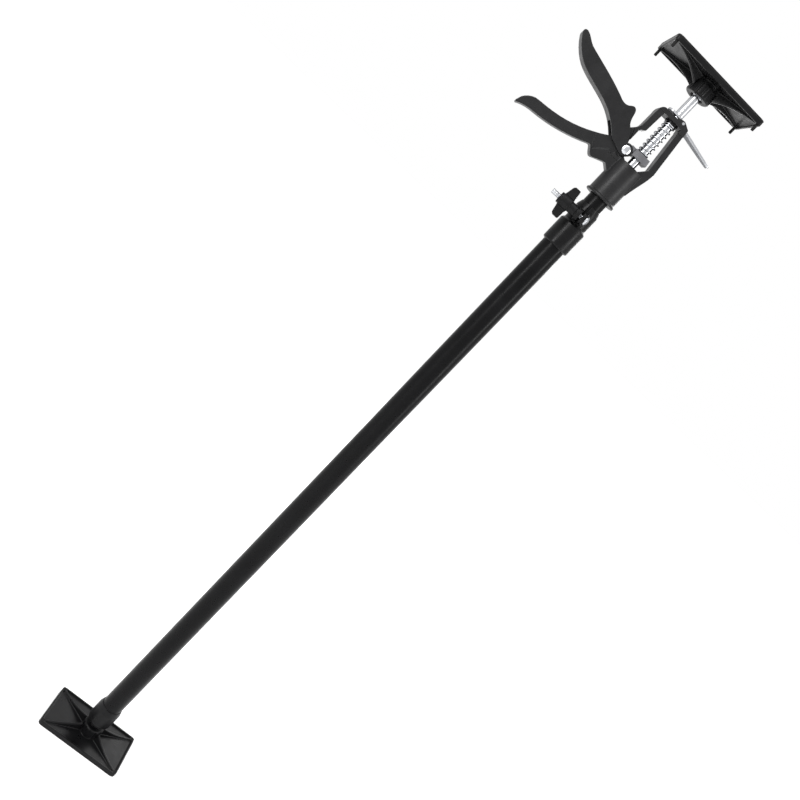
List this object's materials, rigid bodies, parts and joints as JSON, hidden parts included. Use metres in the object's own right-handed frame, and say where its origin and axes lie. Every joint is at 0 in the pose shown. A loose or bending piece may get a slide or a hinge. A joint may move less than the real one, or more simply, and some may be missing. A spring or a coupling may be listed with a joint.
{
  "type": "telescopic support bar",
  "caption": "Telescopic bar with a swivel pad at each end, a wing-knob clamp on the tubes and a trigger grip that pushes out a sprung rod to brace a door or panel.",
  "frame": {"origin": "centre of the foot pad's face", "axes": "+Z along the bar to the head pad, the handles point to -X and the ears of the clamp face -Y"},
  "size_m": [0.2094, 0.075, 1.166],
  "materials": {
    "tube_black": "satin powder coat",
    "cast_charcoal": "satin paint over a casting",
    "moulded_black": "fine moulded grain",
    "zinc": "bright zinc plate",
    "grey_steel": "plain pressed steel",
    "nylon": "natural",
    "rubber": "matt"
  },
  "bodies": {
    "pole": {"outer_tube": "tube_black", "clamp_collar": "moulded_black", "clamp_bolt": "zinc", "clamp_washer": "moulded_black", "foot_plug": "moulded_black", "foot_ball_clip": "zinc"},
    "clamp_knob": {"wing_knob": "moulded_black", "knob_nut": "zinc"},
    "foot_turn": {"foot_ball": "moulded_black"},
    "foot_tilt": {"foot_ball_seat": "nylon"},
    "foot_pad": {"foot_collar": "moulded_black", "foot_plate": "moulded_black", "foot_grip_pad": "rubber"},
    "grip": {"inner_tube": "tube_black", "inner_guide": "nylon", "grip_body": "cast_charcoal", "tube_set_screw": "zinc", "nose_bush": "moulded_black", "pivot_rivet": "zinc", "release_pin": "zinc", "release_spring": "zinc", "drive_spring": "zinc"},
    "trigger": {"trigger_lever": "cast_charcoal"},
    "drive": {"drive_plates": "grey_steel"},
    "rod": {"push_rod": "zinc", "rod_guide": "nylon", "head_ball_clip": "zinc"},
    "release": {"release_lever": "zinc"},
    "head_turn": {"head_ball": "zinc"},
    "head_tilt": {"head_ball_seat": "nylon"},
    "head_pad": {"head_collar": "moulded_black", "head_plate": "moulded_black", "head_grip_pad": "rubber"}
  },
  "joints": [
    {"name": "tube_slide", "type": "slide", "parent": "pole", "child": "grip", "axis": [0, 0, 1], "range_m": [-0.008, 0.7]},
    {"name": "knob_turn", "type": "hinge", "parent": "pole", "child": "clamp_knob", "pos_m": [-0.00478, -0.0225, 0.97], "axis": [0.9781, -0.2079, 0], "range_deg": [-180, 180]},
    {"name": "trigger_pull", "type": "hinge", "parent": "grip", "child": "trigger", "pos_m": [-0.0177, 0, 1.0545], "axis": [0, -1, 0], "range_deg": [0, 25], "stiffness_Nm_per_rad": 1.2, "springref_deg": -28.65},
    {"name": "drive_slide", "type": "slide", "parent": "grip", "child": "drive", "axis": [0, 0, 1], "range_m": [0, 0.0038], "deforming": ["drive_spring"]},
    {"name": "rod_slide", "type": "slide", "parent": "grip", "child": "rod", "axis": [0, 0, 1], "range_m": [-0.015, 0.155]},
    {"name": "release_press", "type": "hinge", "parent": "grip", "child": "release", "pos_m": [0.008, 0, 1.1143], "axis": [0, 1, 0], "range_deg": [0, 8], "stiffness_Nm_per_rad": 0.6, "springref_deg": -17.19, "deforming": ["release_spring"]},
    {"name": "head_swivel", "type": "hinge", "parent": "rod", "child": "head_turn", "pos_m": [0, 0, 1.152], "axis": [0, 0, 1], "continuous": true},
    {"name": "head_tilt_x", "type": "hinge", "parent": "head_turn", "child": "head_tilt", "pos_m": [0, 0, 1.152], "axis": [1, 0, 0], "range_deg": [-12, 12]},
    {"name": "head_tilt_y", "type": "hinge", "parent": "head_tilt", "child": "head_pad", "pos_m": [0, 0, 1.152], "axis": [0, 1, 0], "range_deg": [-12, 12]},
    {"name": "foot_swivel", "type": "hinge", "parent": "pole", "child": "foot_turn", "pos_m": [0, 0, 0.014], "axis": [0, 0, 1], "continuous": true},
    {"name": "foot_tilt_x", "type": "hinge", "parent": "foot_turn", "child": "foot_tilt", "pos_m": [0, 0, 0.014], "axis": [1, 0, 0], "range_deg": [-12, 12]},
    {"name": "foot_tilt_y", "type": "hinge", "parent": "foot_tilt", "child": "foot_pad", "pos_m": [0, 0, 0.014], "axis": [0, 1, 0], "range_deg": [-12, 12]}
  ],
  "couplings": [
    {"joint": "drive_slide", "follows": "trigger_pull", "m_per_rad": 0.0085}
  ]
}
